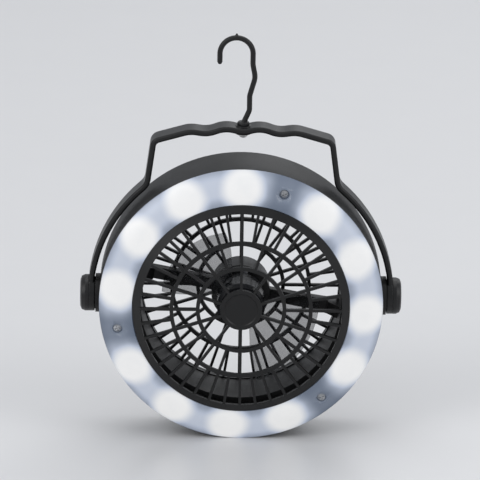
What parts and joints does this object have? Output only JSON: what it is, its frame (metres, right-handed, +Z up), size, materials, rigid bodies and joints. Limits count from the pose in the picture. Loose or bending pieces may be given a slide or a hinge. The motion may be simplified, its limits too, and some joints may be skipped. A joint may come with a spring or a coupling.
{
  "type": "portable camping fan",
  "caption": "Round caged camping fan with a ring lamp round its front, a swinging carry handle and a swivelling hanging hook.",
  "frame": {"origin": "on the surface that it stands on, under the middle of its box", "axes": "+Y from the lit front to the back along the fan's axis, +Z up, +X to the right seen from the front"},
  "size_m": [0.1704, 0.0434, 0.2185],
  "materials": {
    "housing_black": "fine moulded grain",
    "cover_black": "fine moulded grain",
    "grille_black": "satin moulded",
    "bracket_black": "satin moulded",
    "door_black": "fine moulded grain",
    "milky_lens": "frosted, lit from behind",
    "light_emitter": "phosphor face",
    "circuit_board": "solder mask",
    "white_reflector": "satin white",
    "screw_steel": "plated",
    "motor_steel": "satin",
    "clamp_black": "satin moulded",
    "smoky_blade": "smoky, slightly see-through",
    "cell_wrap": "printed film, plain",
    "contact_metal": "plated spring plate",
    "switch_metal": "satin",
    "knob_black": "ribbed",
    "handle_black": "satin moulded",
    "cap_black": "satin moulded",
    "washer_rubber": "matt",
    "hook_black": "satin moulded",
    "pin_steel": "satin"
  },
  "bodies": {
    "fan_body": {"drum_housing": "housing_black", "rear_cover": "cover_black", "cover_screws": "screw_steel", "lens_ring": "milky_lens", "lens_screws": "screw_steel", "led_board": "circuit_board", "reflector_sheet": "white_reflector", "leds": "light_emitter", "front_grille": "grille_black", "rear_grille": "grille_black", "motor_bracket": "bracket_black", "bracket_screws": "screw_steel", "motor_can": "motor_steel", "motor_clamp": "clamp_black", "motor_screws": "screw_steel", "battery_1": "cell_wrap", "battery_2": "cell_wrap", "battery_3": "cell_wrap", "battery_contacts": "contact_metal", "control_board": "circuit_board", "light_switch": "switch_metal", "fan_switch": "switch_metal", "pivot_cap_left": "cap_black", "pivot_cap_right": "cap_black", "pivot_screws": "screw_steel", "friction_washers": "washer_rubber"},
    "rotor": {"fan_rotor": "smoky_blade", "motor_shaft": "motor_steel"},
    "handle_frame": {"handle": "handle_black"},
    "hook_swivel": {"hook": "hook_black", "hook_pin": "pin_steel", "hook_washer": "pin_steel"},
    "door_1": {"battery_door_1": "door_black"},
    "door_2": {"battery_door_2": "door_black"},
    "door_3": {"battery_door_3": "door_black"},
    "light_slider": {"light_knob": "knob_black"},
    "fan_slider": {"fan_knob": "knob_black"}
  },
  "joints": [
    {"name": "rotor_spin", "type": "hinge", "parent": "fan_body", "child": "rotor", "pos_m": [0, -0.00425, 0.075], "axis": [0, 1, 0], "continuous": true},
    {"name": "handle_swing", "type": "hinge", "parent": "fan_body", "child": "handle_frame", "pos_m": [0, 0.00475, 0.075], "axis": [1, 0, 0], "range_deg": [-135, 135]},
    {"name": "hook_turn", "type": "hinge", "parent": "handle_frame", "child": "hook_swivel", "pos_m": [0, 0.00475, 0.175], "axis": [0, 0, 1], "continuous": true},
    {"name": "door_1_open", "type": "hinge", "parent": "fan_body", "child": "door_1", "pos_m": [0.06558, 0.01875, 0.06471], "axis": [-0.982, 0, -0.1891], "range_deg": [0, 95]},
    {"name": "door_2_open", "type": "hinge", "parent": "fan_body", "child": "door_2", "pos_m": [-0.02388, 0.01875, 0.13694], "axis": [0.6547, 0, -0.7559], "range_deg": [0, 95]},
    {"name": "door_3_open", "type": "hinge", "parent": "fan_body", "child": "door_3", "pos_m": [-0.0417, 0.01875, 0.02335], "axis": [0.3272, 0, 0.9449], "range_deg": [0, 95]},
    {"name": "light_slide", "type": "slide", "parent": "fan_body", "child": "light_slider", "axis": [-0.8387, 0, 0.5446], "range_m": [-0.005, 0]},
    {"name": "fan_slide", "type": "slide", "parent": "fan_body", "child": "fan_slider", "axis": [-0.9959, 0, 0.0906], "range_m": [0, 0.005]}
  ]
}
